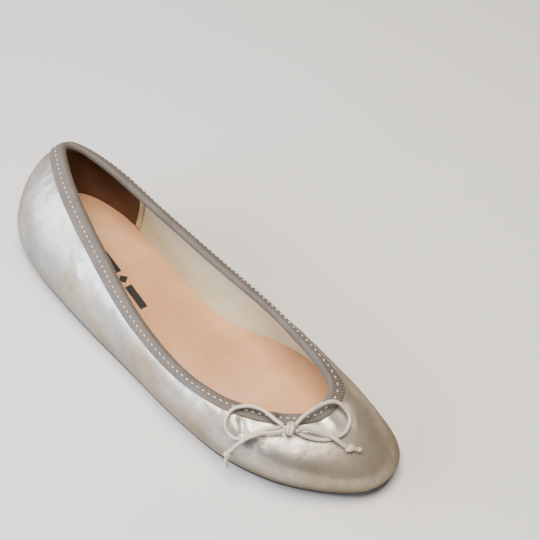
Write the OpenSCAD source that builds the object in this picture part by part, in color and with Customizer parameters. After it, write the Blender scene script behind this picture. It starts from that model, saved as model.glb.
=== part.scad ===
// Ballet slipper: a low-cut flat for the right foot, with a drawn-in bound
// topline and a cord bow at the throat.
// Toe along +X, inner side of the foot along +Y, ground at z = 0. Millimetres.

/* [Build] */

// sub-part to draw, or all of them

/* [Last] */

// length of the slipper over heel and toe
shoe_len = 245; // [220:1:270]

// height of the heel seat above the ground
heel_h = 5; // [4:1:20]

// lift of the toe end above the ground
toe_spring = 6; // [0:0.5:10]

// front face of the heel block
breast_x = -63; // [-75:1:-50]

/* [Bottom] */

// thickness of the outsole
outsole_t = 3; // [2:0.5:5]

// how far the outsole's edge stands back under the upper
outsole_set = 0.8; // [0:0.1:2]

// how far the heel stands back under the upper
heel_set = 4.5; // [1:0.5:6]

// thickness of the heel's rubber top piece
top_piece_t = 2; // [1.5:0.5:4]

// width of the upper's margin folded under the insole board
margin_w = 12; // [8:1:16]

// thickness of the insole board
board_t = 2; // [1.5:0.1:2.5]

// thickness of the foam under the sock
foam_t = 1.8; // [1:0.1:3]

// thickness of the leather sock
sock_t = 0.9; // [0.6:0.1:1.2]

// width of the steel shank
shank_w = 12; // [10:1:16]

/* [Upper] */

// thickness of the outer leather
leather_t = 1.2; // [0.8:0.1:1.6]

// thickness of the lining
lining_t = 0.8; // [0.6:0.1:1.0]

// thickness of counter, toe puff and backing
stiff_t = 0.6; // [0.4:0.1:0.6]

// thickness of the grosgrain binding
binding_t = 0.7; // [0.4:0.1:0.9]

// depth of the binding's outer band below the rim
binding_w = 6; // [4:0.5:8]

// thickness of the elastic inside the binding
elastic_d = 1.3; // [1:0.1:1.4]

// distance from one stitch to the next
stitch_pitch = 2.8; // [2.4:0.1:4]

/* [Bow] */

// thickness of the bow's cord
cord_d = 1.8; // [1.5:0.1:2.4]

// radius of the wrap at the middle of the bow
knot_r = 3; // [2.5:0.1:3.5]

// radius of the knots at the ends of the tails
end_knot_r = 1.9; // [1.8:0.1:2.4]

/* [Hidden] */

$fn = 32;

size_k = shoe_len / 245;

// Sixteen stations round the last, from the back of the heel along the outer
// side to the toe and back along the inner side.
// feather: where the upper turns under, in plan
feather_pts = [
    [-121.5, -2], [-111.5, -24.5], [-85, -33], [-47, -35.5],
    [-7, -35], [30, -35], [63, -32], [95, -19.5],
    [122, 2.5], [120, 26.5], [94.5, 39], [46.5, 36],
    [4, 20], [-41, 21.5], [-82, 24], [-109.5, 17]
];
// fullness: pull of the wall between feather and rim
side_pts = [
    [-129, -3, 41], [-116.5, -27, 40.5], [-85, -39, 38], [-44, -40.5, 37.5],
    [0, -43.5, 34], [42.5, -47, 33.5], [80.5, -44, 34.5], [110, -30.5, 32.5],
    [124.5, 0, 30], [110.5, 25, 32], [76, 31.5, 36.5], [24, 32.5, 41],
    [-10, 32.5, 42], [-45.5, 31, 42], [-82, 32.5, 43.5], [-114.5, 22, 43.5]
];
// rim: the edge of the opening
rim_pts = [
    [-109, 9, 56], [-103, 2, 58], [-79, -9, 55.5], [-44, -19, 48],
    [-8, -28, 42.5], [26, -31, 39.5], [51, -27, 37.5], [68, -18, 35.5],
    [80, -8, 34.5], [86, 4, 34.5], [80, 18, 38], [44, 22, 43],
    [-11, 22, 44.5], [-47, 21, 47.5], [-81, 19, 52], [-102, 15, 55]
];

// grid on the last: columns round it, rows from the feather up to the rim
cols = 96;
rows = 10;
rim_rows = 2;

// Bow cord routes, cord centre, each from the wrap outward
loop_lateral_route = [
    [83, -16, 38.5], [78, -17, 39.5], [72, -18, 40.5], [67, -20.5, 40.5],
    [64, -23.5, 40], [62, -27, 39], [62.5, -31, 38], [64, -33.5, 36],
    [66.5, -34.5, 34], [69.5, -34.5, 33], [72.5, -33, 33], [74.5, -30.5, 34],
    [75.5, -27, 34.5], [78, -22, 35.5], [80.5, -18.5, 36], [82.5, -15.5, 36]
];
loop_medial_route = [
    [86.5, -12, 38.5], [86, -7, 39.5], [86.5, -1, 40], [87.5, 5, 40],
    [89.5, 9.5, 39.5], [93, 12, 37.5], [97, 12, 35], [99.5, 10.5, 33.5],
    [101.5, 6, 32.5], [101.5, 2.5, 32.5], [100.5, 0, 32.5], [99, -3.5, 32.5],
    [96, -7, 33], [92.5, -10, 34], [90, -11.5, 35], [87, -12.5, 35.5]
];
tail_lateral_route = [
    [84.5, -17, 37], [82, -20.5, 36.5], [79, -24.5, 36.5], [77.5, -28, 36.5],
    [76, -31.5, 36], [74.5, -34, 33.5], [73, -36, 30], [72, -37.5, 27]
];
tail_medial_route = [
    [88.5, -13.5, 37.5], [90, -9, 37], [94, -5.5, 36], [99, -2.5, 35],
    [103, -1, 34], [106, 0.5, 31.5]
];
stub_lateral_route = [[71, -38.8, 21.2], [71, -39, 18], [71, -39, 14]];
stub_medial_route = [[109.6, 4, 29.2], [111, 6, 28.2]];
tack_routes = [
    [[73.6, -13.6, 37.8], [73, -15, 39.4], [71.6, -15.4, 40]],
    [[74.4, -12.8, 37.8], [73.2, -12.4, 39.8], [72.6, -11.2, 40.6]],
    [[75.2, -12, 37.8], [75.2, -11.2, 39.6], [76, -10, 40.2]]
];
wrap_at = [85.3, -14.2, 36.9];
wrap_axis = [0.68, 0.73, 0];
end_lateral_at = [71.2, -38.4, 24];
end_lateral_axis = [0.2, 0.3, 1];
end_medial_at = [108, 2.2, 30.2];
end_medial_axis = [0.6, 0.7, -0.4];

// middle of the print on the sock, and its turn
print_at = [-47, -5];
print_turn = -8;

// columns where the heel lining meets the lining, counted from the heel's back
joint_col = 15;
// half the strip's width over that joint, in stations
strip_half = 0.06;

// half the length of one stitch, and its row down from the rim as a share of the band
stitch_half = 0.9;
stitch_row = 0.52;

// levels above the outsole's underside
margin_z = outsole_t + 0.1;
board_z = margin_z + leather_t + 0.1;
foam_z = board_z + board_t + 0.05;
sock_z = foam_z + foam_t + 0.05;
sock_top = sock_z + sock_t;

// depths inward from the outer face of the upper
stiff_d = leather_t + 0.05;
lining_d = stiff_d + stiff_t + 0.05;
inner_d = lining_d + lining_t;

function ease(a, b, x) =
    let (t = min(1, max(0, (x - a) / (b - a)))) t * t * (3 - 2 * t);

// underside of the outsole at x
function ground(x) =
    heel_h * (1 - ease(-71, 14, x)) + toe_spring * pow(max(0, (x - 71) / 50), 2);

function unit(v) = v / norm(v);

// pulls of the wall's curve from foot and rim toward the fullness
foot_pull = 0.6;
rim_pull = 0.55;
band_pull = 1.35;

// closed curve through a ring of points, u counts stations
function ring_at(pts, u) =
    let (n = len(pts), i = floor(u), t = u - i,
         a = pts[(i - 1 + 2 * n) % n], b = pts[(i + 2 * n) % n],
         c = pts[(i + 1 + 2 * n) % n], d = pts[(i + 2 + 2 * n) % n])
    size_k * 0.5 * (2 * b + (c - a) * t + (2 * a - 5 * b + 4 * c - d) * t * t
        + (3 * b - a - 3 * c + d) * t * t * t);

function feather(u) = ring_at(feather_pts, u);

// point of the plan outline moved inward by d
function inset(u, d) =
    let (p = feather(u), s = unit(feather(u + 0.05) - feather(u - 0.05)))
    [p.x - s.y * d, p.y + s.x * d];

// point on the last, v runs from the feather to the rim
function last_at(u, v) =
    let (f = feather(u), foot = [f.x, f.y, ground(f.x) + margin_z],
         side = ring_at(side_pts, u), rim = ring_at(rim_pts, u),
         a = foot + foot_pull * (side - foot), b = rim + rim_pull * (side - rim), w = 1 - v)
    foot * w * w * w + a * 3 * v * w * w + b * 3 * v * v * w + rim * v * v * v;

function last_normal(u, v) =
    let (h = min(v, 0.98), g = max(h, 0.02))
    unit(cross(last_at(u + 0.03, g) - last_at(u - 0.03, g),
               last_at(u, g + 0.015) - last_at(u, g - 0.015)));

// share of the wall that lies below the binding; near the rim the wall is as
// steep as band_pull times the distance from rim to fullness
function band_v(u) =
    1 - binding_w / (band_pull * norm(ring_at(rim_pts, u) - ring_at(side_pts, u)) + binding_w);

function row_v(u, j) =
    j <= rows - rim_rows ? band_v(u) * j / (rows - rim_rows)
        : band_v(u) + (1 - band_v(u)) * (j - rows + rim_rows) / rim_rows;

last_grid = [for (i = [0:cols - 1]) let (u = 16 * i / cols)
    [for (j = [0:rows]) last_at(u, row_v(u, j))]];
normal_grid = [for (i = [0:cols - 1]) let (u = 16 * i / cols)
    [for (j = [0:rows]) last_normal(u, row_v(u, j))]];

// wall point at column i and row j, d inward; row 0 stands on the level foot_z
function wall(i, j, d, foot_z) =
    let (c = (i + cols) % cols)
    j == 0 ? under(i, d, foot_z) : last_grid[c][j] - d * normal_grid[c][j];

function under(i, d, z) =
    let (p = inset(16 * i / cols, d)) [p.x, p.y, ground(p.x) + z];

// point beyond the rim: d inward, t along the wall past its edge
function past_rim(i, d, t) =
    let (c = (i + cols) % cols,
         up = unit(last_grid[c][rows] - last_grid[c][rows - 1]))
    last_grid[c][rows] - d * normal_grid[c][rows] + t * up;

// solid through a list of profiles; point j of a profile lies across the wall
// from point m - 1 - j, and both faces of the wall split along the same way
module loft(profiles, closed = false) {
    n = len(profiles);
    m = len(profiles[0]);
    spans = closed ? n : n - 1;
    sides = [for (i = [0:spans - 1], j = [0:m - 1])
        let (a = i * m + j, b = i * m + (j + 1) % m,
             c = ((i + 1) % n) * m + j, d = ((i + 1) % n) * m + (j + 1) % m)
        each j < m / 2 ? [[a, c, b], [b, c, d]] : [[a, c, d], [a, d, b]]];
    caps = closed ? [] : [for (j = [0:m / 2 - 2])
        let (a = j, b = j + 1, c = m - 2 - j, d = m - 1 - j, e = (n - 1) * m)
        each [[a, b, c], [a, c, d], [e + a, e + c, e + b], [e + a, e + d, e + c]]];
    polyhedron(points = [for (p = profiles) each p], faces = concat(sides, caps));
}

// layer of the wall between depths d0 and d1
module wall_layer(i0, i1, j0, j1, d0, d1, foot_z, closed = false) {
    loft([for (i = [i0:i1]) concat(
        [for (j = [j1:-1:j0]) wall(i, j, d0, foot_z)],
        [for (j = [j0:j1]) wall(i, j, d1, foot_z)])], closed);
}

// round cord through a list of points
module cord(path, r, up = [0, 0, 1], sides = 8) {
    n = len(path);
    rings = [for (i = [0:n - 1])
        let (t = unit(path[min(n - 1, i + 1)] - path[max(0, i - 1)]),
             s = unit(cross(t, up)), q = cross(s, t))
        [for (k = [0:sides - 1]) let (a = 360 * k / sides)
            path[i] + r * (cos(a) * s + sin(a) * q)]];
    faces = concat(
        [for (i = [0:n - 2], k = [0:sides - 1])
            let (a = i * sides + k, b = i * sides + (k + 1) % sides)
            each [[a, a + sides, b], [b, a + sides, b + sides]]],
        [[for (k = [0:sides - 1]) k]],
        [[for (k = [sides - 1:-1:0]) (n - 1) * sides + k]]);
    polyhedron(points = [for (p = rings) each p], faces = faces);
}

// open smooth curve through points, steps per span
function through(pts, steps) =
    let (n = len(pts))
    concat([for (i = [0:n - 2], k = [0:steps - 1])
        let (t = k / steps, a = pts[max(0, i - 1)], b = pts[i],
             c = pts[i + 1], d = pts[min(n - 1, i + 2)])
        0.5 * (2 * b + (c - a) * t + (2 * a - 5 * b + 4 * c - d) * t * t
            + (3 * b - a - 3 * c + d) * t * t * t)], [pts[n - 1]]);

// outline of the bottom, moved inward by d
module plan(d) {
    polygon([for (i = [0:cols - 1]) inset(16 * i / cols, d)]);
}

// point of the wall at column i, d inward, at level z above the ground curve
function face_at(i, d, z) =
    let (a = wall(i, 0, d, board_z), b = wall(i, 1, d, board_z),
         t = (ground(a.x) + z - a.z) / (b.z - a.z), p = a + t * (b - a))
    [p.x, p.y];

// the more inward of the wall's points at two levels
function tucked(i, d, lo, hi) =
    let (u = 16 * i / cols, p = face_at(i, d, lo), q = face_at(i, d, hi),
         s = feather(u + 0.05) - feather(u - 0.05))
    (q - p) * [-s.y, s.x] > 0 ? q : p;

// sheet that follows the ground curve between levels lo and hi
module sheet(lo, hi) {
    xs = [for (x = [-135:6:135]) x];
    rotate([90, 0, 0])
        linear_extrude(height = 160, center = true)
            polygon(concat(
                [for (x = xs) [x, ground(x) + lo]],
                [for (k = [len(xs) - 1:-1:0]) [xs[k], ground(xs[k]) + hi]]));
}

module bottom_layer(d, lo, hi) {
    intersection() {
        linear_extrude(height = 60) plan(d);
        sheet(lo, hi);
    }
}

// bottom layer that reaches to the lining
module inner_layer(gap, lo, hi) {
    intersection() {
        linear_extrude(height = 60)
            polygon([for (i = [0:cols - 1]) tucked(i, inner_d + gap, lo, hi)]);
        sheet(lo, hi);
    }
}

module outsole() {
    color("#3a3431") bottom_layer(outsole_set, 0, outsole_t);
}

module heel_block() {
    color("#4a3f38")
        intersection() {
            translate([0, 0, top_piece_t]) linear_extrude(height = 40) plan(heel_set);
            sheet(-30, 0);
            translate([breast_x - 100, -80, 0]) cube([100, 160, 60]);
        }
}

module heel_top_piece() {
    color("#2c2927")
        intersection() {
            linear_extrude(height = top_piece_t) plan(heel_set);
            translate([breast_x - 100, -80, -10]) cube([100, 160, 60]);
        }
}

module bottom_filler() {
    color("#b08a5e")
        difference() {
            bottom_layer(margin_w + 0.6, margin_z, margin_z + leather_t);
            shank_slot(0.3);
        }
}

module shank_slot(gap) {
    translate([-93 - gap, -5 - shank_w / 2 - gap, 0])
        cube([110 + 2 * gap, shank_w + 2 * gap, 60]);
}

module shank() {
    color("#8d9196")
        intersection() {
            sheet(margin_z + 0.05, margin_z + leather_t - 0.05);
            shank_slot(0);
        }
}

module insole_board() {
    color("#a68a63") inner_layer(0.3, board_z, board_z + board_t);
}

module footbed_foam() {
    color("#e4dcc8") inner_layer(0.3, foam_z, foam_z + foam_t);
}

module sock() {
    color("#d2a985") inner_layer(0.2, sock_z, sock_top);
}

// two bars and a lozenge printed on the heel of the sock
module sock_print() {
    color("#1d1a19")
        intersection() {
            sheet(sock_top, sock_top + 0.06);
            translate([print_at.x, print_at.y, 0])
                rotate(print_turn)
                    linear_extrude(height = 60) {
                        for (s = [-1, 1])
                            translate([13 * s, 0]) square([16, 4], center = true);
                        rotate(45) square([4, 4], center = true);
                    }
        }
}

module upper() {
    color("#b9b2a8")
        loft([for (i = [0:cols - 1]) concat(
            [for (j = [rows:-1:0]) wall(i, j, 0, margin_z)],
            [under(i, margin_w, margin_z), under(i, margin_w, margin_z + leather_t),
             under(i, leather_t, margin_z + leather_t)],
            [for (j = [1:rows]) wall(i, j, leather_t, margin_z)])], closed = true);
}

module heel_counter() {
    color("#c9bda6")
        wall_layer(-12, 12, 0, 7, stiff_d, stiff_d + stiff_t, board_z);
}

module toe_puff() {
    color("#c9bda6")
        wall_layer(38, 60, 0, 5, stiff_d, stiff_d + stiff_t, board_z);
}

module backing_lateral() {
    color("#e8e2d4")
        wall_layer(13, 37, 0, rows, stiff_d, stiff_d + stiff_t, board_z);
}

module backing_medial() {
    color("#e8e2d4")
        wall_layer(61, 83, 0, rows, stiff_d, stiff_d + stiff_t, board_z);
}

module lining() {
    color("#d9d3b8")
        wall_layer(joint_col, cols - joint_col, 0, rows, lining_d, inner_d, board_z);
}

module heel_lining() {
    color("#4a2c1e")
        wall_layer(-joint_col, joint_col, 0, rows, lining_d, inner_d, board_z);
}

module binding() {
    t = binding_t;
    mid = inner_d / 2;
    color("#9c938d")
        loft([for (i = [0:cols - 1]) concat(
            [for (j = [rows - rim_rows:rows]) wall(i, j, -0.05 - t, 0)],
            [past_rim(i, -0.4, 1.3), past_rim(i, mid, 2.5), past_rim(i, inner_d + 0.4, 1.3)],
            [for (j = [rows:-1:rows - rim_rows]) wall(i, j, inner_d + 0.05 + t, 0)],
            [for (j = [rows - rim_rows:rows]) wall(i, j, inner_d + 0.05, 0)],
            [past_rim(i, inner_d - 0.3, 1.2), past_rim(i, mid, 1.75), past_rim(i, 0.3, 1.2)],
            [for (j = [rows:-1:rows - rim_rows]) wall(i, j, -0.05, 0)])], closed = true);
}

module topline_elastic() {
    mid = inner_d / 2;
    r = elastic_d / 2;
    color("#d8d4cc")
        loft([for (i = [0:cols - 1])
            [for (k = [0:5]) let (a = 60 * k)
                past_rim(i, mid + r * cos(a), 0.95 + r * sin(a))]], closed = true);
}

// folded strip over the joint of the two linings, u its station
module lining_strip(u) {
    loft([for (k = [-1, 1]) concat(
        [for (j = [rows - rim_rows:-1:2]) strip_at(u + strip_half * k, j, inner_d + 0.2)],
        [for (j = [2:rows - rim_rows]) strip_at(u + strip_half * k, j, inner_d + 0.7)])]);
}

function strip_at(u, j, d) =
    last_at(u, row_v(u, j)) - d * last_normal(u, row_v(u, j));

module lining_strip_lateral() {
    color("#c9c0a0") lining_strip(16 * joint_col / cols);
}

module lining_strip_medial() {
    color("#c9c0a0") lining_strip(16 - 16 * joint_col / cols);
}

// corner of a stitch on the binding's outer band: s along it, t across it, each
// -1 or 1, and h above the tape
function stitch_at(u, s, t, h) =
    let (station = norm(ring_at(rim_pts, u + 0.1) - ring_at(rim_pts, u - 0.1)) / 0.2,
         e = u + s * stitch_half / station,
         v = 1 - (1 - band_v(u)) * (stitch_row + 0.05 * t))
    last_at(e, v) + (0.1 + binding_t + h) * last_normal(e, v);

module binding_stitches() {
    places = [for (i = [0:15])
        let (n = round(norm(rim_pts[(i + 1) % 16] - rim_pts[i]) / stitch_pitch))
        each [for (k = [0:n - 1]) i + (k + 0.5) / n]];
    color("#efece6")
        for (u = places)
            six_sided([for (h = [0.08, 0.45], p = [[-1, -1], [1, -1], [1, 1], [-1, 1]])
                stitch_at(u, p.x, p.y, h)]);
}

// solid with eight corners, the lower four and then the upper four
module six_sided(pts) {
    polyhedron(points = pts, faces = [
        [0, 2, 1], [0, 3, 2], [4, 5, 6], [4, 6, 7], [0, 1, 5], [0, 5, 4],
        [1, 2, 6], [1, 6, 5], [2, 3, 7], [2, 7, 6], [3, 0, 4], [3, 4, 7]]);
}

// places children with their Z axis along dir
module aim(at, dir) {
    translate(at)
        rotate([0, acos(dir.z / norm(dir)), atan2(dir.y, dir.x)])
            children();
}

// two turns of cord wound close round a core of radius r - cord_d
module wrap(r) {
    c = cord_d / 2;
    rotate_extrude()
        intersection() {
            union() {
                for (k = [-1, 1])
                    translate([r - c, 0.94 * c * k]) circle(c);
                translate([0, -1.4 * c]) square([r - c, 2.8 * c]);
            }
            translate([0, -cord_d]) square([r, 2 * cord_d]);
        }
}

module bow_knot() {
    color("#c9c0b5") aim(wrap_at, wrap_axis) wrap(knot_r);
}

// thread ends left where the bow is sewn down
module bow_tack() {
    color("#cfc9be")
        for (route = tack_routes)
            cord(through(route, 3), 0.2, [0.7, -0.7, 0.2], 5);
}

module bow_loop_lateral() {
    color("#c9c0b5") cord(loop_lateral_route, cord_d / 2);
}

module bow_loop_medial() {
    color("#c9c0b5") cord(loop_medial_route, cord_d / 2);
}

module bow_tail_lateral() {
    color("#c9c0b5") cord(tail_lateral_route, cord_d / 2);
}

module bow_tail_medial() {
    color("#c9c0b5") cord(tail_medial_route, cord_d / 2);
}

module tail_knot_lateral() {
    color("#c9c0b5") aim(end_lateral_at, end_lateral_axis) wrap(end_knot_r);
}

module tail_knot_medial() {
    color("#c9c0b5") aim(end_medial_at, end_medial_axis) wrap(end_knot_r);
}

module tail_stub_lateral() {
    color("#c9c0b5") cord(stub_lateral_route, cord_d / 2, [1, 0, 0]);
}

module tail_stub_medial() {
    color("#c9c0b5") cord(stub_medial_route, cord_d / 2);
}

outsole();
heel_block();
heel_top_piece();
bottom_filler();
shank();
insole_board();
footbed_foam();
sock();
sock_print();
upper();
heel_counter();
toe_puff();
backing_lateral();
backing_medial();
lining();
heel_lining();
binding();
topline_elastic();
lining_strip_lateral();
lining_strip_medial();
binding_stitches();
bow_knot();
bow_tack();
bow_loop_lateral();
bow_loop_medial();
bow_tail_lateral();
bow_tail_medial();
tail_knot_lateral();
tail_knot_medial();
tail_stub_lateral();
tail_stub_medial();
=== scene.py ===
import bpy
import bmesh
import math
import random
from bisect import bisect_left
from functools import lru_cache
from mathutils import Matrix, Vector, noise


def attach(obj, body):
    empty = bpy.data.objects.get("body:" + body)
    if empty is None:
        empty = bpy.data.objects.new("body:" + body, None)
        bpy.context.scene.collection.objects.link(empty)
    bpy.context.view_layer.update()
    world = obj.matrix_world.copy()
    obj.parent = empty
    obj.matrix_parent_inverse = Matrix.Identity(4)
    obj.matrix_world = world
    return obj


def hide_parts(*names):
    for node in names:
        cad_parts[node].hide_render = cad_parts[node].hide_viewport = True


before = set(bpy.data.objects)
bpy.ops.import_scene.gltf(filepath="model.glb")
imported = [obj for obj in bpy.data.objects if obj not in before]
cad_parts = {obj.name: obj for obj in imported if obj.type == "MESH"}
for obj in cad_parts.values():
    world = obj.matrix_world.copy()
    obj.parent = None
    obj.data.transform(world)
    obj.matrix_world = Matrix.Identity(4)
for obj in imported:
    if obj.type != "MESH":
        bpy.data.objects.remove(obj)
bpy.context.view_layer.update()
mm = 0.001


# ---- camera ----
# orbit round a point beside the slipper, so it sits low and left in the view
cameraSettings = {
    "azimuth": 43.96, "elevation": 50.14, "roll": 3.69,
    "distance": 586.8, "target": (2.7, 52.4, 20), "lens": 75.67, "sensor": 36,
}


def makeCamera(s):
    az, el, roll = (math.radians(s[k]) for k in ("azimuth", "elevation", "roll"))
    back = Vector((math.sin(az) * math.cos(el), -math.cos(az) * math.cos(el), math.sin(el)))
    side = Vector((math.cos(az), math.sin(az), 0))
    up = back.cross(side)
    right = math.cos(roll) * side + math.sin(roll) * up
    top = math.cos(roll) * up - math.sin(roll) * side
    place = (Vector(s["target"]) + back * s["distance"]) * mm
    data = bpy.data.cameras.new("camera")
    data.lens = s["lens"]
    data.sensor_width = s["sensor"]
    data.clip_start = 0.01
    camera = bpy.data.objects.new("camera", data)
    turn = Matrix((right, top, back)).transposed().to_4x4()
    camera.matrix_world = Matrix.Translation(place) @ turn
    bpy.context.scene.collection.objects.link(camera)
    bpy.context.scene.camera = camera


makeCamera(cameraSettings)
print("camera set")


# ---- materials ----
def linear(hexText):
    parts = [int(hexText[i:i + 2], 16) / 255 for i in (1, 3, 5)]
    return [c / 12.92 if c <= 0.04045 else ((c + 0.055) / 1.055) ** 2.4 for c in parts] + [1]


def addNode(tree, kind, settings=None, links=None):
    # inputs go by their names, or by number where two share a name
    node = tree.nodes.new(kind)
    for name, value in (settings or {}).items():
        if isinstance(name, int) or name in node.inputs:
            node.inputs[name].default_value = value
        else:
            setattr(node, name, value)
    for name, source in (links or {}).items():
        tree.links.new(source, node.inputs[name])
    return node


def ramp(tree, source, stops):
    node = addNode(tree, "ShaderNodeValToRGB", {}, {"Fac": source})
    elements = node.color_ramp.elements
    while len(elements) < len(stops):
        elements.new(0.5)
    for element, (at, colour) in zip(elements, stops):
        element.position = at
        element.color = linear(colour) if isinstance(colour, str) else (colour, colour, colour, 1)
    return node.outputs["Color"]


def newMaterial(name, **sockets):
    material = bpy.data.materials.new(name)
    material.use_nodes = True
    tree = material.node_tree
    tree.nodes.clear()
    shader = addNode(tree, "ShaderNodeBsdfPrincipled", sockets)
    addNode(tree, "ShaderNodeOutputMaterial", {}, {"Surface": shader.outputs["BSDF"]})
    where = addNode(tree, "ShaderNodeTexCoord")
    return material, tree, shader, where


def noiseAt(tree, where, sizeMm, detail=3.0, roughness=0.55, distortion=0.0, stretch=None):
    # noise with features about sizeMm across
    source = where
    if stretch:
        mapping = addNode(tree, "ShaderNodeMapping", {"Scale": stretch}, {"Vector": where})
        source = mapping.outputs["Vector"]
    node = addNode(tree, "ShaderNodeTexNoise", {
        "Scale": 1000 / sizeMm, "Detail": detail, "Roughness": roughness,
        "Distortion": distortion}, {"Vector": source})
    return node.outputs["Fac"]


def bump(tree, shader, layers):
    # layers: (height source, depth in mm), the first is the deepest below
    normal = None
    for height, depth in layers:
        node = addNode(tree, "ShaderNodeBump", {"Strength": 1.0, "Distance": depth * mm},
                       {"Height": height})
        if normal:
            tree.links.new(normal, node.inputs["Normal"])
        normal = node.outputs["Normal"]
    tree.links.new(normal, shader.inputs["Normal"])


def multiply(tree, first, second):
    mix = addNode(tree, "ShaderNodeMix", {"data_type": "RGBA", "blend_type": "MULTIPLY", 0: 1.0},
                  {6: first, 7: second})
    return mix.outputs[2]


def makePearlLeather():
    # sheep nappa with a rubbed pearl foil: half-metal sheen, broken by a fine grain,
    # silver where the foil lies thick and champagne where the tan skin shows through
    material, tree, shader, where = newMaterial(
        "pearlNappa", Metallic=0.8, IOR=1.5,
        **{"Specular Tint": linear("#8a8279")})
    place = where.outputs["Object"]
    cloud = noiseAt(tree, place, 34, 2.0, 0.5, 0.4)
    silver = ramp(tree, cloud, [(0.34, "#c8cacc"), (0.52, "#c6c1b8"), (0.70, "#bdae99")])
    # the foil is worn thin over the toe, the inner vamp and the back of the heel
    split = addNode(tree, "ShaderNodeSeparateXYZ", {}, {"Vector": place})
    toe = addNode(tree, "ShaderNodeMapRange", {"From Min": 0.085, "From Max": 0.118},
                  {"Value": split.outputs["X"]})
    inner = addNode(tree, "ShaderNodeMapRange", {"From Min": 0.0, "From Max": 0.022},
                    {"Value": split.outputs["Y"]})
    back = addNode(tree, "ShaderNodeMapRange", {"From Min": -0.098, "From Max": -0.125},
                   {"Value": split.outputs["X"]})
    vamp = addNode(tree, "ShaderNodeMapRange", {"From Min": 0.03, "From Max": 0.075},
                   {"Value": split.outputs["X"]})
    innerVamp = addNode(tree, "ShaderNodeMath", {"operation": "MINIMUM"},
                        {0: inner.outputs["Result"], 1: vamp.outputs["Result"]})
    front = addNode(tree, "ShaderNodeMath", {"operation": "MAXIMUM"},
                    {0: toe.outputs["Result"], 1: innerVamp.outputs[0]})
    worn = addNode(tree, "ShaderNodeMath", {"operation": "MAXIMUM"},
                   {0: front.outputs[0], 1: back.outputs["Result"]})
    champagne = addNode(tree, "ShaderNodeMix", {"data_type": "RGBA", 7: linear("#d0c0aa")},
                        {0: worn.outputs[0], 6: silver})
    mottle = noiseAt(tree, place, 4.5, 5.0, 0.65)
    patches = noiseAt(tree, place, 26, 1.0, 0.5)
    colour = multiply(tree, champagne.outputs[2], ramp(tree, patches, [(0.36, 0.8), (0.6, 1.0)]))
    colour = multiply(tree, colour, ramp(tree, mottle, [(0.28, 0.78), (0.72, 1.0)]))
    tree.links.new(ramp(tree, mottle, [(0.25, 0.47), (0.75, 0.36)]), shader.inputs["Roughness"])
    # painted shade: the colour darkens along the lower edge of the toe, standing for the dark
    # surroundings the foil reflects there
    above = addNode(tree, "ShaderNodeMapRange", {"From Min": 0.008, "From Max": 0.024},
                    {"Value": split.outputs["Z"]})
    behind = addNode(tree, "ShaderNodeMapRange", {"From Min": 0.09, "From Max": 0.04},
                     {"Value": split.outputs["X"]})
    clearOfToeShade = addNode(tree, "ShaderNodeMath", {"operation": "MAXIMUM"},
                    {0: above.outputs["Result"], 1: behind.outputs["Result"]})
    # painted shade on the toe's lower edge, down to half as bright at the bottom
    toeEdgeShade = ramp(tree, clearOfToeShade.outputs[0], [(0.0, 0.5), (0.6, 0.86), (1.0, 1.0)])
    colour = multiply(tree, colour, toeEdgeShade)
    # foil flakes catch the light one by one, drawn coarser than they are
    flake = noiseAt(tree, place, 1.0, 1.0, 0.5)
    colour = multiply(tree, colour, ramp(tree, flake, [(0.3, 0.86), (0.7, 1.0)]))
    tree.links.new(colour, shader.inputs["Base Color"])
    # grain about a millimetre across, drawn a little coarser than the real half millimetre
    grain = addNode(tree, "ShaderNodeTexVoronoi", {"Scale": 1000 / 1.1, "feature": "SMOOTH_F1"},
                    {"Vector": place})
    bump(tree, shader, [(noiseAt(tree, place, 5.5, 3.0, 0.5), 0.12),
                        (grain.outputs["Distance"], 0.045)])
    return material


def makeLiningLeather(name, colours, roughness=0.62, grainDepth=0.08):
    # aniline-dyed lining skin, shaved flat: matt, with soft blotches
    material, tree, shader, where = newMaterial(name, IOR=1.48, Roughness=roughness)
    place = where.outputs["Object"]
    cloud = noiseAt(tree, place, 22, 3.0, 0.55)
    tree.links.new(ramp(tree, cloud, [(0.32, colours[0]), (0.70, colours[1])]),
                   shader.inputs["Base Color"])
    bump(tree, shader, [(noiseAt(tree, place, 2.4, 4.0, 0.6), 0.12),
                        (noiseAt(tree, place, 0.8, 2.0, 0.5), grainDepth)])
    return material


def makeSockLeather():
    # pigmented pigskin over foam: warm tan, matt, with fine pores and faint streaks
    material, tree, shader, where = newMaterial("tanPigskin", IOR=1.48)
    place = where.outputs["Object"]
    cloud = noiseAt(tree, place, 30, 3.0, 0.5)
    streak = noiseAt(tree, place, 7, 4.0, 0.6, 0.3, (0.35, 1.6, 1.0))
    tint = ramp(tree, cloud, [(0.3, "#c08c60"), (0.55, "#cc9a70"), (0.78, "#d6aa84")])
    shade = ramp(tree, streak, [(0.25, 0.90), (0.75, 1.0)])
    tree.links.new(multiply(tree, tint, shade), shader.inputs["Base Color"])
    tree.links.new(ramp(tree, streak, [(0.2, 0.62), (0.8, 0.50)]), shader.inputs["Roughness"])
    pores = addNode(tree, "ShaderNodeTexVoronoi", {"Scale": 1000 / 1.3}, {"Vector": place})
    bump(tree, shader, [(noiseAt(tree, place, 3.5, 4.0, 0.6), 0.15),
                        (pores.outputs["Distance"], 0.07)])
    return material


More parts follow.
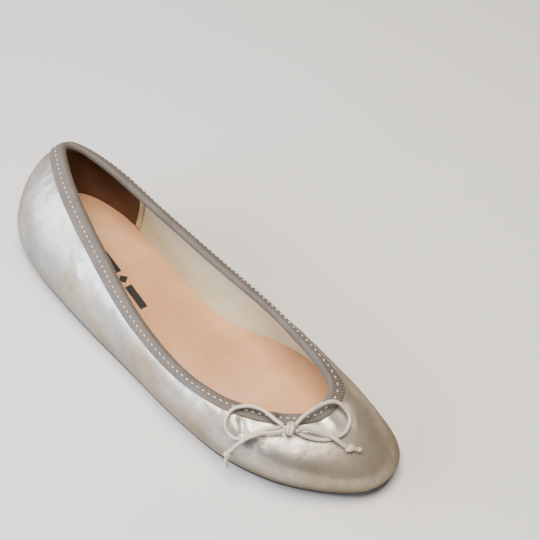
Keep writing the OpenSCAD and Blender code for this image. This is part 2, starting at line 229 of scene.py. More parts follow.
def makeGrosgrain():
    # ribbed rayon tape: dull silk yarns; each rib's colour is painted lighter on its crest and
    # darker in the groove beside it, painted shade with some dust in the grooves; the UV map
    # counts ribs along the tape
    material, tree, shader, where = newMaterial(
        "grosgrain", IOR=1.5, Roughness=0.62,
        **{"Sheen Weight": 0.2, "Sheen Roughness": 0.4})
    place = where.outputs["Object"]
    cloud = noiseAt(tree, place, 12, 3.0, 0.6)
    fleck = noiseAt(tree, place, 0.9, 2.0, 0.6)
    ribs = addNode(tree, "ShaderNodeSeparateXYZ", {}, {"Vector": where.outputs["UV"]})
    turn = addNode(tree, "ShaderNodeMath", {"operation": "MULTIPLY", 1: 2 * math.pi},
                   {0: ribs.outputs["X"]})
    crest = addNode(tree, "ShaderNodeMath", {"operation": "COSINE"}, {0: turn.outputs[0]})
    light = addNode(tree, "ShaderNodeMapRange", {"From Min": -1.0, "From Max": 1.0},
                    {"Value": crest.outputs[0]})
    tint = ramp(tree, cloud, [(0.3, "#5d554e"), (0.7, "#6c635b")])
    shade = ramp(tree, fleck, [(0.25, 0.86), (0.75, 1.0)])
    # painted shade: the colour falls to half in the groove between ribs, for the shade there and
    # some dust
    grooveShadeAndDust = ramp(tree, light.outputs["Result"], [(0.0, 0.5), (0.55, 1.0)])
    tree.links.new(multiply(tree, multiply(tree, tint, shade), grooveShadeAndDust),
                   shader.inputs["Base Color"])
    bump(tree, shader, [(fleck, 0.06)])
    return material


def makeCordLeather():
    # thin leather rolled round a cotton core and glued: soft satin, faint wrinkles
    material, tree, shader, where = newMaterial("rolledCordLeather", IOR=1.5, Roughness=0.44,
                                                Metallic=0.15)
    place = where.outputs["Object"]
    cloud = noiseAt(tree, place, 9, 3.0, 0.55)
    tree.links.new(ramp(tree, cloud, [(0.3, "#b1a595"), (0.7, "#c4baab")]),
                   shader.inputs["Base Color"])
    bump(tree, shader, [(noiseAt(tree, place, 1.6, 3.0, 0.6), 0.10),
                        (noiseAt(tree, place, 0.5, 2.0, 0.5), 0.03)])
    return material


def makePlain(name, colours, sizeMm=6, depth=0.05, **sockets):
    material, tree, shader, where = newMaterial(name, **sockets)
    place = where.outputs["Object"]
    cloud = noiseAt(tree, place, sizeMm, 4.0, 0.6)
    tree.links.new(ramp(tree, cloud, [(0.3, colours[0]), (0.7, colours[1])]),
                   shader.inputs["Base Color"])
    bump(tree, shader, [(noiseAt(tree, place, sizeMm * 0.2, 3.0, 0.6), depth)])
    return material


pearlLeather = makePearlLeather()
sockLeather = makeSockLeather()
grosgrain = makeGrosgrain()
cordLeather = makeCordLeather()
creamLining = makeLiningLeather("creamLiningSkin", ("#d6d3b4", "#e4e1c6"))
brownLining = makeLiningLeather("brownLiningSkin", ("#4c3224", "#634431"), 0.7)
stripLeather = makeLiningLeather("foldedLiningSkin", ("#c4bb9c", "#d6ceb2"))
# spun polyester, twisted hard: matt and near white
threadFibre = makePlain("polyesterThread", ("#d2ccc0", "#e6e1d6"), 1.0, 0.05,
                        Roughness=0.7, IOR=1.5)
# the same thread dyed brown: a thin dark dotted line
threadBrown = makePlain("brownThread", ("#6b4a34", "#8a6548"), 1.0, 0.05,
                        Roughness=0.7, IOR=1.5)
# waxed linen thread, frayed: brownish grey and dull
tackFibre = makePlain("linenThread", ("#5f5148", "#7d6d61"), 1.0, 0.05,
                      Roughness=0.75, IOR=1.5)
# screen-printed ink: flat and dull black
printInk = makePlain("screenInk", ("#0b0a0a", "#131111"), 2.0, 0.02,
                     Roughness=0.55, IOR=1.5)
# pressed thermoplastic rubber sheet, matt dark brown
soleRubber = makePlain("thermoplasticRubber", ("#2e2926", "#3c3632"), 3.0, 0.10,
                       Roughness=0.75, IOR=1.52)
# moulded microcellular rubber: matt, a shade warmer than the sole
heelRubber = makePlain("microcellularRubber", ("#3d342e", "#4a4038"), 2.0, 0.10,
                       Roughness=0.8, IOR=1.52)
# pressed cellulose board: brown and fibrous
fibreBoard = makePlain("celluloseBoard", ("#9a8260", "#b59a74"), 1.5, 0.08,
                       Roughness=0.9, IOR=1.5)
# bonded cork sheet: speckled brown
corkSheet = makePlain("corkFiller", ("#8a6640", "#b48c5c"), 1.8, 0.12,
                      Roughness=0.9, IOR=1.45)
# foamed latex: pale cream with open pores
latexFoam = makePlain("latexFoam", ("#ddd5c0", "#ebe4d3"), 1.0, 0.12,
                      Roughness=0.95, IOR=1.5)
# cloth stiffened with resin: buff and dull
stiffCloth = makePlain("stiffenedCloth", ("#b9ab92", "#cfc3ab"), 1.0, 0.05,
                       Roughness=0.85, IOR=1.5)
# brushed cotton knit: off-white and soft
cottonBacking = makePlain("cottonBacking", ("#dcd6c8", "#ebe6da"), 1.0, 0.05,
                          Roughness=0.95, IOR=1.5)
# braided rubber and polyester: off-white, finely ribbed
braidedElastic = makePlain("braidedElastic", ("#cfcac0", "#e0dcd3"), 0.8, 0.08,
                           Roughness=0.8, IOR=1.5)
# cold-rolled spring steel, hardened: smooth grey metal
springSteel = makePlain("springSteel", ("#70757b", "#8a8f95"), 5.0, 0.01,
                        Roughness=0.35, Metallic=1.0)
# painted studio board: even and matt
floorPaint = makePlain("paintedFloor", ("#d3d2d0", "#d7d6d4"), 400, 0.0, Roughness=0.85)


def dress(piece, material):
    piece.data.materials.clear()
    piece.data.materials.append(material)


def dressNode(name, material):
    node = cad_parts[name]
    for own in node.material_slots:
        own.material = material


print("materials made")


# ---- bow cord ----
# routes of the cord's centre, millimetres, each from the wrap outward
bowSettings = {
    "diameter": 1.8, "spanSteps": 6,
    "loopLateral": [
        (83, -16, 38.5), (78, -17, 39.5), (72, -18, 40.5), (67, -20.5, 40.5),
        (64, -23.5, 40), (62, -27, 39), (62.5, -31, 38), (64, -33.5, 36),
        (66.5, -34.5, 34), (69.5, -34.5, 33), (72.5, -33, 33), (74.5, -30.5, 34),
        (75.5, -27, 34.5), (78, -22, 35.5), (80.5, -18.5, 36), (82.5, -15.5, 36)],
    "loopMedial": [
        (86.5, -12, 38.5), (86, -7, 39.5), (86.5, -1, 40), (87.5, 5, 40),
        (89.5, 9.5, 39.5), (93, 12, 37.5), (97, 12, 35), (99.5, 10.5, 33.5),
        (101.5, 6, 32.5), (101.5, 2.5, 32.5), (100.5, 0, 32.5), (99, -3.5, 32.5),
        (96, -7, 33), (92.5, -10, 34), (90, -11.5, 35), (87, -12.5, 35.5)],
    "tailLateral": [
        (84.5, -17, 37), (82, -20.5, 36.5), (79, -24.5, 36.5), (77.5, -28, 36.5),
        (76, -31.5, 36), (74.5, -34, 33.5), (73, -36, 30), (72, -37.5, 27),
        (71.2, -38.4, 24), (71, -38.8, 21.2), (71, -39, 18), (71, -39, 14)],
    "tailMedial": [
        (88.5, -13.5, 37.5), (90, -9, 37), (94, -5.5, 36), (99, -2.5, 35),
        (103, -1, 34), (106, 0.5, 31.5), (108, 2.2, 30.2), (109.6, 4, 29.2),
        (111, 6, 28.2)],
    "wrapAt": (85.3, -14.2, 36.9), "wrapAxis": (0.68, 0.73, 0),
    "wrapRadius": 2.05, "wrapWidth": 2.0, "wrapTurns": 2.0,
    # second turn of the wrap: slant, lift off the first, and the way it faces
    "wrapLean": 1.2, "wrapSwell": 0.35, "wrapFacing": (0.2, -0.2, 0.96), "wrapCord": 1.08,
    "endRadius": 1.1, "endTurns": 2.0, "endWidth": 2.0, "endCord": 1.55,
    # cord swelling toward its sealed tip, from a little before the end
    "tipBack": 1.4, "tipStep": 0.35, "tipSwell": [0.98, 1.08, 1.25, 1.38, 1.34, 1.12],
    "endLateralAt": (71.2, -38.4, 24), "endLateralAxis": (0.2, 0.3, 1),
    "endMedialAt": (108, 2.2, 30.2), "endMedialAxis": (0.6, 0.7, -0.4),
}


def through(points, steps):
    # smooth open path through the points
    points = [Vector(p) for p in points]
    path = []
    for i in range(len(points) - 1):
        a, b = points[max(0, i - 1)], points[i]
        c, d = points[i + 1], points[min(len(points) - 1, i + 2)]
        for k in range(steps):
            t = k / steps
            path.append(0.5 * (2 * b + (c - a) * t + (2 * a - 5 * b + 4 * c - d) * t * t
                               + (3 * b - a - 3 * c + d) * t ** 3))
    return path + [points[-1]]


def cordCurve(name, paths, diameter, material, radii=None):
    data = bpy.data.curves.new(name, "CURVE")
    data.dimensions = "3D"
    data.bevel_depth = diameter / 2 * mm
    data.bevel_resolution = 5
    data.use_fill_caps = True
    for path in paths:
        spline = data.splines.new("POLY")
        spline.points.add(len(path) - 1)
        for i, p in enumerate(path):
            spline.points[i].co = (*(p * mm), 1)
            spline.points[i].radius = radii[i] if radii else 1
    piece = bpy.data.objects.new(name, data)
    bpy.context.scene.collection.objects.link(piece)
    dress(piece, material)
    return piece


def wrapPath(at, axis, radius, turns, width, lean=0.0, steps=26):
    # close turns round an axis
    axis = Vector(axis).normalized()
    side = axis.cross(Vector((0, 0, 1)) if abs(axis.z) < 0.8 else Vector((1, 0, 0))).normalized()
    top = side.cross(axis)
    count = int(turns * steps)
    path = []
    for i in range(count + 1):
        angle = 2 * math.pi * i / steps - 2.2
        along = width * (i / count - 0.5) + lean * math.sin(angle)
        path.append(Vector(at) + axis * along
                    + radius * (math.cos(angle) * side + math.sin(angle) * top))
    return path


def makeBow(s):
    d = s["diameter"]
    knotAt = Vector(s["wrapAt"])
    for name, key, body, nodes in (
            ("bowLoopLateral", "loopLateral", "loop_lateral", ["bow_loop_lateral"]),
            ("bowLoopMedial", "loopMedial", "loop_medial", ["bow_loop_medial"])):
        path = through(s[key], s["spanSteps"])
        piece = cordCurve(name, [path], d, cordLeather)
        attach(piece, body)
        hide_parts(*nodes)
    for name, key, body, side in (
            ("bowTailLateral", "tailLateral", "tail_lateral", "Lateral"),
            ("bowTailMedial", "tailMedial", "tail_medial", "Medial")):
        path = through(s[key], s["spanSteps"])
        piece = cordCurve(name, [path], d, cordLeather)
        at, axis = s["end" + side + "At"], s["end" + side + "Axis"]
        wound = wrapPath(at, axis, s["endRadius"], s["endTurns"], s["endWidth"], 0.25)
        knot = cordCurve("tailKnot" + side, [wound], s["endCord"], cordLeather)
        onward = (path[-1] - path[-3]).normalized()
        tipPath = [path[-1] - onward * s["tipBack"] + onward * s["tipStep"] * i
                   for i in range(len(s["tipSwell"]))]
        tip = cordCurve("tailTip" + side, [tipPath], d, cordLeather, s["tipSwell"])
        for extra in (piece, knot, tip):
            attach(extra, body)
        low = side.lower()
        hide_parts("bow_tail_" + low, "tail_stub_" + low)
        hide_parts("tail_knot_" + low)
    # one turn stands upright, the second leans across it
    wound = wrapPath(knotAt, s["wrapAxis"], s["wrapRadius"], s["wrapTurns"], s["wrapWidth"],
                     steps=30)
    axis = Vector(s["wrapAxis"]).normalized()
    for i, p in enumerate(wound):
        share = i / (len(wound) - 1)
        if share > 0.5:
            out = (p - knotAt).dot(Vector(s["wrapFacing"])) / s["wrapRadius"]
            swell = s["wrapSwell"] * (p - knotAt).normalized()
            wound[i] = p + swell + axis * s["wrapLean"] * out * (share - 0.5) * 2
    knot = cordCurve("bowKnot", [wound], d * s["wrapCord"], cordLeather)
    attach(knot, "shoe")
    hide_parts("bow_knot")


makeBow(bowSettings)


# thread ends of the bow's tacking, lying on the binding behind the knot
tackSettings = {"at": (76.3, -14.2, 37.3), "along": (0.75, 0.66, -0.05), "count": 11,
                "spread": 2.4, "lift": 1.3, "thread": 0.3, "offside": 0.6,
                # how far each thread runs along and across, in its two halves
                "firstAlong": (-1.6, 1.6), "firstAcross": (-1.3, 0.9),
                "secondAlong": (-1.4, 1.4), "secondAcross": (-1.2, 1.0)}


def makeTack(s):
    along = Vector(s["along"]).normalized()
    across = along.cross(Vector((0, 0, 1))).normalized()
    rng = random.Random(11)
    threads = []
    for _ in range(s["count"]):
        base = (Vector(s["at"]) + along * rng.uniform(-1, 1) * s["spread"]
                + across * rng.uniform(-s["offside"], s["offside"]))
        first = along * rng.uniform(*s["firstAlong"]) + across * rng.uniform(*s["firstAcross"])
        second = along * rng.uniform(*s["secondAlong"]) + across * rng.uniform(*s["secondAcross"])
        lift = s["lift"] * rng.uniform(0.5, 1)
        threads.append(through([
            base - Vector((0, 0, 0.6)), base + first * 0.4 + Vector((0, 0, lift)),
            base + first + Vector((0, 0, lift * 0.5)),
            base + first + second - Vector((0, 0, 0.1))], 5))
    piece = cordCurve("bowTack", threads, s["thread"], tackFibre)
    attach(piece, "shoe")
    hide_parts("bow_tack")


makeTack(tackSettings)
print("bow tied")


# ---- shape of the last ----
# stations round the last from the back of the heel along the outer side to the toe
# and back along the inner side, millimetres
lastSettings = {
    "feather": [
        (-121.5, -2), (-111.5, -24.5), (-85, -33), (-47, -35.5),
        (-7, -35), (30, -35), (63, -32), (95, -19.5),
        (122, 2.5), (120, 26.5), (94.5, 39), (46.5, 36),
        (4, 20), (-41, 21.5), (-82, 24), (-109.5, 17)],
    "side": [
        (-129, -3, 41), (-116.5, -27, 40.5), (-85, -39, 38), (-44, -40.5, 37.5),
        (0, -43.5, 34), (42.5, -47, 33.5), (80.5, -44, 34.5), (110, -30.5, 32.5),
        (124.5, 0, 30), (110.5, 25, 32), (76, 31.5, 36.5), (24, 32.5, 41),
        (-10, 32.5, 42), (-45.5, 31, 42), (-82, 32.5, 43.5), (-114.5, 22, 43.5)],
    "rim": [
        (-109, 9, 56), (-103, 2, 58), (-79, -9, 55.5), (-44, -19, 48),
        (-8, -28, 42.5), (26, -31, 39.5), (51, -27, 37.5), (68, -18, 35.5),
        (80, -8, 34.5), (86, 4, 34.5), (80, 18, 38), (44, 22, 43),
        (-11, 22, 44.5), (-47, 21, 47.5), (-81, 19, 52), (-102, 15, 55)],
    "heel": 5, "spring": 6, "marginLevel": 3.1, "bandWidth": 6,
    "leather": 1.2, "liningFace": 2.7, "sockTop": 9.2,
}
featherRing = [Vector((x, y, 0)) for x, y in lastSettings["feather"]]
sideRing = [Vector(p) for p in lastSettings["side"]]
rimRing = [Vector(p) for p in lastSettings["rim"]]
stations = 16


def ground(x):
    t = min(1, max(0, (x + 71) / 85))
    return lastSettings["heel"] * (1 - t * t * (3 - 2 * t)) \
        + lastSettings["spring"] * max(0, (x - 71) / 50) ** 2


def ringAt(ring, u):
    i = math.floor(u)
    t = u - i
    a, b, c, d = (ring[(i + k) % stations] for k in (-1, 0, 1, 2))
    return 0.5 * (2 * b + (c - a) * t + (2 * a - 5 * b + 4 * c - d) * t * t
                  + (3 * b - a - 3 * c + d) * t ** 3)


@lru_cache(maxsize=None)
def columnAt(u):
    # the four pull points of the wall's curve at station u
    foot = ringAt(featherRing, u)
    foot.z = ground(foot.x) + lastSettings["marginLevel"]
    side, rim = ringAt(sideRing, u), ringAt(rimRing, u)
    return foot, foot + 0.6 * (side - foot), rim + 0.55 * (side - rim), rim


def lastAt(u, v):
    foot, a, b, rim = columnAt(round(u, 5))
    w = 1 - v
    return foot * w ** 3 + a * (3 * v * w * w) + b * (3 * v * v * w) + rim * v ** 3


def lastNormal(u, v):
    g = min(max(v, 0.02), 0.98)
    across = lastAt(u + 0.03, g) - lastAt(u - 0.03, g)
    upward = lastAt(u, g + 0.015) - lastAt(u, g - 0.015)
    return across.cross(upward).normalized()


def wallAt(u, v, depth):
    return lastAt(u, v) - depth * lastNormal(u, v)


def inset(u, d):
    p = ringAt(featherRing, u)
    s = (ringAt(featherRing, u + 0.05) - ringAt(featherRing, u - 0.05)).normalized()
    return Vector((p.x - s.y * d, p.y + s.x * d, 0))


@lru_cache(maxsize=None)
def bandShare(u):
    # share of the wall below the binding
    pull = (ringAt(rimRing, u) - ringAt(sideRing, u)).length
    return 1 - lastSettings["bandWidth"] / (1.35 * pull + lastSettings["bandWidth"])


# distance along the rim, to space ribs and stitches evenly
rimSteps = 1600
rimPoints = [ringAt(rimRing, stations * i / rimSteps) for i in range(rimSteps + 1)]
rimRun = [0.0]
for here, there in zip(rimPoints, rimPoints[1:]):
    rimRun.append(rimRun[-1] + (there - here).length)
rimLength = rimRun[-1]


def stationAtRun(run):
    # station u at a distance along the rim
    run = run % rimLength
    k = min(max(bisect_left(rimRun, run), 1), rimSteps)
    span = rimRun[k] - rimRun[k - 1]
    return stations * (k - 1 + (run - rimRun[k - 1]) / span) / rimSteps


def linkMesh(name, bm, material):
    mesh = bpy.data.meshes.new(name)
    bm.to_mesh(mesh)
    bm.free()
    for face in mesh.polygons:
        face.use_smooth = True
    piece = bpy.data.objects.new(name, mesh)
    bpy.context.scene.collection.objects.link(piece)
    dress(piece, material)
    return piece


def sheetFrom(place, columns, rows, upward=False):
    # flat grid pulled into shape: place(p, q) gives millimetres, p and q run 0 to 1
    bm = bmesh.new()
    bmesh.ops.create_grid(bm, x_segments=columns, y_segments=rows, size=1)
    for vert in bm.verts:
        vert.co = place((vert.co.x + 1) / 2, (vert.co.y + 1) / 2) * mm
    bmesh.ops.remove_doubles(bm, verts=bm.verts, dist=1e-6)
    bmesh.ops.recalc_face_normals(bm, faces=bm.faces)
    if upward and sum(face.normal.z for face in bm.faces) < 0:
        bmesh.ops.reverse_faces(bm, faces=bm.faces)
    return bm


def thicken(piece, thickness, offset=-1):
    wall = piece.modifiers.new("thickness", "SOLIDIFY")
    wall.thickness = thickness * mm
    wall.offset = offset


def fbm(p, size, octaves=3, seed=0.0):
    # layered noise, about -1 to 1, features about size mm across
    q = Vector(p) / size + Vector((seed, seed * 1.7, -seed))
    total, weight, scale = 0.0, 1.0, 1.0
    for _ in range(octaves):
        total += weight * noise.noise(q * scale)
        weight *= 0.5
        scale *= 2.1
    return total


# ---- upper ----
upperSettings = {
    "columns": 480, "rows": 64, "marginShare": 0.08, "marginWidth": 12,
    "undulation": 0.5, "pucker": 0.45, "puckerPitch": 6.5, "puckerReach": 12,
    "crease": 0.1,
    # folds pressed in or raised: both ends, half width, depth inward
    "folds": [
        ((67.5, -27, 35), (72, -30, 33), 1.8, 0.9), ((77.5, -29, 30), (79, -33, 25), 2.2, 0.7),
        ((79, -21, 34), (82, -26, 32), 2.6, 0.6), ((88, 14, 35), (92, 15, 33.5), 2.5, 0.5),
        ((28, -38.5, 30), (36, -38.5, 29), 3.4, 0.4), ((21, -37, 33), (18, -39, 23), 3.2, 0.3),
        ((-50, -27, 41), (-54, -35, 23), 3.2, 0.7), ((-18, -33.5, 35), (-20, -36.5, 23), 3.0, 0.5),
        ((92, 4.5, 33), (95, 4.5, 32.5), 2.8, -0.5), ((97, 17, 31), (101, 14, 30), 2.8, -0.5),
        ((-55, -25, 43), (-48, -31, 36), 3.4, -0.6)],
}


def foldDepth(point, folds):
    depth = 0.0
    for start, end, half, deep in folds:
        start, end = Vector(start), Vector(end)
        run = end - start
        t = min(1, max(0, (point - start).dot(run) / run.length_squared))
        away = (point - start - t * run).length / half
        if away < 3:
            depth += deep * math.exp(-away * away)
    return depth


def makeUpper(s):
    def relief(point, toRim):
        wave = s["undulation"] * fbm(point, 24, 2, 3.1)
        gather = max(0, 1 - max(0, toRim - 5) / s["puckerReach"]) ** 1.5
        plan = Vector((point.x, point.y, 0))
        ripple = s["pucker"] * gather * fbm(plan, s["puckerPitch"], 2, 8.4)
        # sharp little creases where the skin is slack
        slack = min(1, max(0, 1.6 * fbm(point, 34, 1, 6.6) + 0.35))
        line = 1 - min(1, abs(fbm(Vector((point.x, point.y, point.z * 0.5)), 8, 2, 4.2)) * 5)
        return wave + ripple - s["crease"] * slack * line - foldDepth(point, s["folds"])

    def place(p, q):
        u = stations * p
        if q < s["marginShare"]:
            d = s["marginWidth"] * (1 - q / s["marginShare"])
            foot = inset(u, d)
            return Vector((foot.x, foot.y, ground(foot.x) + lastSettings["marginLevel"]))
        v = (q - s["marginShare"]) / (1 - s["marginShare"])
        point = lastAt(u, v)
        toRim = (1 - v) * 1.35 * (ringAt(rimRing, u) - ringAt(sideRing, u)).length
        fade = min(1, v / 0.12) * min(1, max(0, toRim - 2) / 4)
        return point + (fade * relief(point, toRim) - 0.05) * lastNormal(u, v)

    piece = linkMesh("upperLeather", sheetFrom(place, s["columns"], s["rows"]),
                     pearlLeather)
    thicken(piece, lastSettings["leather"] - 0.15)
    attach(piece, "shoe")
    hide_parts("upper")


makeUpper(upperSettings)
print("upper lasted")


# ---- lining ----
liningSettings = {
    "columns": 300, "heelColumns": 110, "rows": 30, "joint": 2.5, "lean": 0.16,
    "thickness": 0.7, "stripHalf": 0.055, "stripColumns": 10, "stripRows": 24, "stripSkin": 0.5,
    # seam down the strip: depth, pitch, and its two ends and run up the wall
    "seamDepth": 0.85, "seamPitch": 1.9, "seamFoot": 0.14, "seamHead": 0.9, "seamRun": 0.76,
    "seamStitch": (1.5, 0.45, 0.4),
}


def makeLining(s):
    def jointAt(side, v):
        # the joint leans back toward the rim
        return side * (s["joint"] + s["lean"] * (v - 0.5) * 2)

    def liningPlace(first, last):
        def place(p, q):
            v = 0.03 + 0.97 * q
            a, b = first(v), last(v)
            u = a + (b - a) * p
            point = wallAt(u, v, lastSettings["liningFace"])
            soft = 0.25 * fbm(point, 14, 2, 5.5) * min(1, (1 - q) / 0.15)
            return point - soft * lastNormal(u, v)
        return place

    brown = linkMesh("heelLining", sheetFrom(
        liningPlace(lambda v: jointAt(-1, v), lambda v: jointAt(1, v)),
        s["heelColumns"], s["rows"]), brownLining)
    cream = linkMesh("creamLining", sheetFrom(
        liningPlace(lambda v: jointAt(1, v), lambda v: stations + jointAt(-1, v)),
        s["columns"], s["rows"]), creamLining)
    for piece, node in ((cream, "lining"), (brown, "heel_lining")):
        thicken(piece, s["thickness"], 0)
        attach(piece, "shoe")
        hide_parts(node)
    for name, side, node in (("stripLateral", 1, "lining_strip_lateral"),
                             ("stripMedial", -1, "lining_strip_medial")):
        def place(p, q):
            v = 0.1 + 0.84 * q
            u = jointAt(side, v) + s["stripHalf"] * (2 * p - 1)
            swell = 0.35 + 0.35 * math.sin(math.pi * p)
            return wallAt(u % stations, v, lastSettings["liningFace"] + swell)
        strip = linkMesh(name, sheetFrom(place, s["stripColumns"], s["stripRows"]), stripLeather)
        thicken(strip, s["stripSkin"], 0)
        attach(strip, "shoe")
        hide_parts(node)
        # brown lockstitch down the strip's front edge
        bm = bmesh.new()
        foot, head = s["seamFoot"], s["seamHead"]
        height = (wallAt(jointAt(side, head) % stations, head, 3)
                  - wallAt(jointAt(side, foot) % stations, foot, 3)).length
        count = round(height / s["seamPitch"])
        for k in range(count):
            v = foot + s["seamRun"] * (k + 0.5) / count
            u = (jointAt(side, v) + side * s["stripHalf"] * 0.8) % stations
            at = wallAt(u, v, lastSettings["liningFace"] + s["seamDepth"])
            upward = (wallAt(u, v + 0.01, 3) - wallAt(u, v - 0.01, 3)).normalized()
            addStitch(bm, at, upward, lastNormal(u, v), *s["seamStitch"])
        seam = linkMesh(name + "Seam", bm, threadBrown)
        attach(seam, "shoe")


def addStitch(bm, at, along, normal, length, width, height):
    across = normal.cross(along).normalized()
    turn = Matrix((along, across, normal)).transposed().to_4x4()
    size = Matrix.Diagonal((length / 2 * mm, width / 2 * mm, height / 2 * mm, 1))
    bmesh.ops.create_uvsphere(bm, u_segments=8, v_segments=5, radius=1,
                              matrix=Matrix.Translation(at * mm) @ turn @ size)


makeLining(liningSettings)
print("lining in")


# ---- binding ----
# 8 ribs a centimetre, a little coarser than usual tape, so that they hold up at a distance
bindingSettings = {"ribPitch": 1.25, "perRib": 5, "rows": 22, "ribDepth": 0.13}


def bandProfile(u):
    # outline of the folded tape at station u, from the outer edge over the rim inside
    v = bandShare(u)
    normal, upward = lastNormal(u, 1), (lastAt(u, 1) - lastAt(u, 0.94)).normalized()
    rim = lastAt(u, 1)
    inside = lastSettings["liningFace"]
    middle = inside / 2

    def past(depth, rise):
        return rim - depth * normal + rise * upward

    outer = [wallAt(u, v, 0.1), wallAt(u, v, -0.55), wallAt(u, v + 0.25 * (1 - v), -0.78),
             wallAt(u, v + 0.6 * (1 - v), -0.78)]
    crown = [past(-0.75, 0.1), past(-0.35, 1.45), past(middle, 2.5),
             past(inside + 0.35, 1.45), past(inside + 0.75, 0.1)]
    inner = [wallAt(u, v + k * (1 - v), inside + 0.75) for k in (0.6, 0.25)]
    inner += [wallAt(u, v, inside + 0.5), wallAt(u, v, inside - 0.1)]
    return outer + crown + inner, rim - middle * normal


def makeBinding(s):
    ribs = round(rimLength / s["ribPitch"])

    @lru_cache(maxsize=None)
    def profile(p):
        points, core = bandProfile(stationAtRun(p * rimLength))
        path = through(points, 6)
        return path, core

    def place(p, q):
        path, core = profile(round(p, 6))
        at = q * (len(path) - 1)
        k = min(int(at), len(path) - 2)
        point = path[k].lerp(path[k + 1], at - k)
        outward = (point - core).normalized()
        rib = math.cos(2 * math.pi * ribs * p) * s["ribDepth"] * min(1, q / 0.06, (1 - q) / 0.06)
        slack = 0.12 * fbm(point, 9, 2, 1.3)
        return point + (rib + slack) * outward

    bm = bmesh.new()
    bmesh.ops.create_grid(bm, x_segments=ribs * s["perRib"], y_segments=s["rows"], size=1)
    counts = bm.loops.layers.uv.new("ribs")
    for face in bm.faces:
        for loop in face.loops:
            p, q = (loop.vert.co.x + 1) / 2, (loop.vert.co.y + 1) / 2
            loop[counts].uv = (p * ribs, q)
    for vert in bm.verts:
        vert.co = place((vert.co.x + 1) / 2, (vert.co.y + 1) / 2) * mm
    bmesh.ops.remove_doubles(bm, verts=bm.verts, dist=1e-6)
    bmesh.ops.recalc_face_normals(bm, faces=bm.faces)
    piece = linkMesh("bindingTape", bm, grosgrain)
    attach(piece, "shoe")
    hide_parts("binding")


makeBinding(bindingSettings)
print("topline bound")


# ---- stitches on the binding ----
stitchSettings = {"pitch": 3.05, "length": 1.55, "width": 0.55, "height": 0.5, "bandPlace": 0.66}


def makeStitches(s):
    count = round(rimLength / s["pitch"])
    bm = bmesh.new()
    for i in range(count):
        u = stationAtRun((i + 0.5) * rimLength / count)
        v = bandShare(u) + s["bandPlace"] * (1 - bandShare(u))
        along = (lastAt(u + 0.02, v) - lastAt(u - 0.02, v)).normalized()
        addStitch(bm, wallAt(u, v, -0.88), along, lastNormal(u, v),
                  s["length"], s["width"], s["height"])
    piece = linkMesh("bindingStitches", bm, threadFibre)
    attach(piece, "shoe")
    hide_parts("binding_stitches")


makeStitches(stitchSettings)
print("stitches sewn")


# ---- sock ----
sockSettings = {
    "along": 220, "across": 90, "gap": 2.85, "edgeLift": 0.35, "thickness": 0.7,
    # flat round the print, then fading into the soft surface
    "printAt": (-47, -5, 0), "flatReach": 24, "flatFade": 12,
    # shallow creases where the toes bend it
    "folds": [((34, -14, 0), (40, -17, 0), 1.6, 0.35), ((55, -10, 0), (60, -13, 0), 1.6, 0.3),
              ((46, 8, 0), (52, -4, 0), 2.4, 0.25)],
}


def sockEdge(u, gap):
    # where the wall's inner face meets the sock's level
    low, high = 0.0, 0.6
    for _ in range(14):  # halving the step each time
        v = (low + high) / 2
        point = wallAt(u % stations, v, gap)
        if point.z < ground(point.x) + lastSettings["sockTop"]:
            low = v
        else:
            high = v
    return point


def makeSock(s):
    edges = {}

    def edgeAt(u):
        key = round(u, 5)
        if key not in edges:
            edges[key] = sockEdge(u, s["gap"])
        return edges[key]

    def place(p, q):
        # p runs heel to toe, q from the outer to the inner edge
        u = 0.02 + (8 - 0.04) * p
        point = edgeAt(u).lerp(edgeAt(stations - u), q)
        edge = min(q, 1 - q)
        lift = s["edgeLift"] * max(0, 1 - edge / 0.12) ** 2
        level = ground(point.x) + lastSettings["sockTop"]
        flatPoint = Vector((point.x, point.y, 0))
        past = (flatPoint - Vector(s["printAt"])).length - s["flatReach"]
        flat = min(1, max(0, past) / s["flatFade"])
        soft = flat * (0.3 * fbm(point, 26, 3, 2.2) * min(1, edge / 0.1)
                       - foldDepth(flatPoint, s["folds"]))
        return Vector((point.x, point.y, level + lift + soft))

    piece = linkMesh("sockLeather", sheetFrom(place, s["along"], s["across"], True), sockLeather)
    thicken(piece, s["thickness"])
    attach(piece, "shoe")
    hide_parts("sock")


makeSock(sockSettings)
print("sock laid")


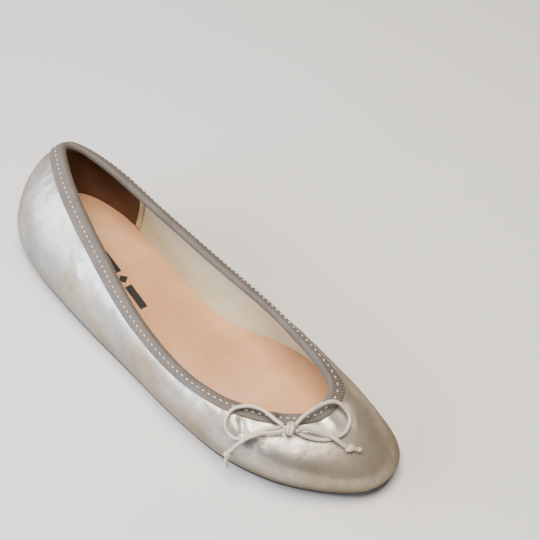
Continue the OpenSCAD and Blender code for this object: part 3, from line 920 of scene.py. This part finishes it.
# ---- finishes on the plain pieces ----
for nodeName, finish in (
        ("outsole", soleRubber), ("heel_block", heelRubber), ("heel_top_piece", soleRubber),
        ("bottom_filler", corkSheet), ("shank", springSteel), ("insole_board", fibreBoard),
        ("footbed_foam", latexFoam), ("sock_print", printInk), ("heel_counter", stiffCloth),
        ("toe_puff", stiffCloth), ("backing_lateral", cottonBacking),
        ("backing_medial", cottonBacking), ("topline_elastic", braidedElastic)):
    dressNode(nodeName, finish)


# ---- floor, light ----
stageSettings = {
    "floorSize": 6.0, "world": "#eef1f5", "worldStrength": 0.12,
    "lights": [
        # name, place, aim, size, watts, colour
        ("topSoftbox", (0.07, -0.14, 0.9), (0.02, 0, 0.02), 0.5, 19, "#fff4e6"),
        ("leftWindow", (-0.66, -0.92, 0.42), (0, 0, 0.03), 1.0, 34, "#e8f0ff"),
        ("backFill", (-0.35, 0.95, 0.6), (0, 0, 0.03), 0.6, 1.0, "#fff2e2")],
}


def makeStage(s):
    bm = bmesh.new()
    bmesh.ops.create_grid(bm, x_segments=1, y_segments=1, size=s["floorSize"] / 2)
    mesh = bpy.data.meshes.new("floor")
    bm.to_mesh(mesh)
    bm.free()
    floor = bpy.data.objects.new("floor", mesh)
    bpy.context.scene.collection.objects.link(floor)
    floor.data.materials.append(floorPaint)
    world = bpy.data.worlds.new("studio")
    world.use_nodes = True
    sky = world.node_tree.nodes["Background"]
    sky.inputs["Color"].default_value = linear(s["world"])
    sky.inputs["Strength"].default_value = s["worldStrength"]
    bpy.context.scene.world = world
    for name, place, aim, size, watts, colour in s["lights"]:
        data = bpy.data.lights.new(name, "AREA")
        data.size = size
        data.energy = watts
        data.color = linear(colour)[:3]
        lamp = bpy.data.objects.new(name, data)
        away = (Vector(place) - Vector(aim)).normalized()
        lamp.rotation_mode = "QUATERNION"
        lamp.rotation_quaternion = away.to_track_quat("Z", "Y")
        lamp.location = place
        bpy.context.scene.collection.objects.link(lamp)


makeStage(stageSettings)
print("stage lit")
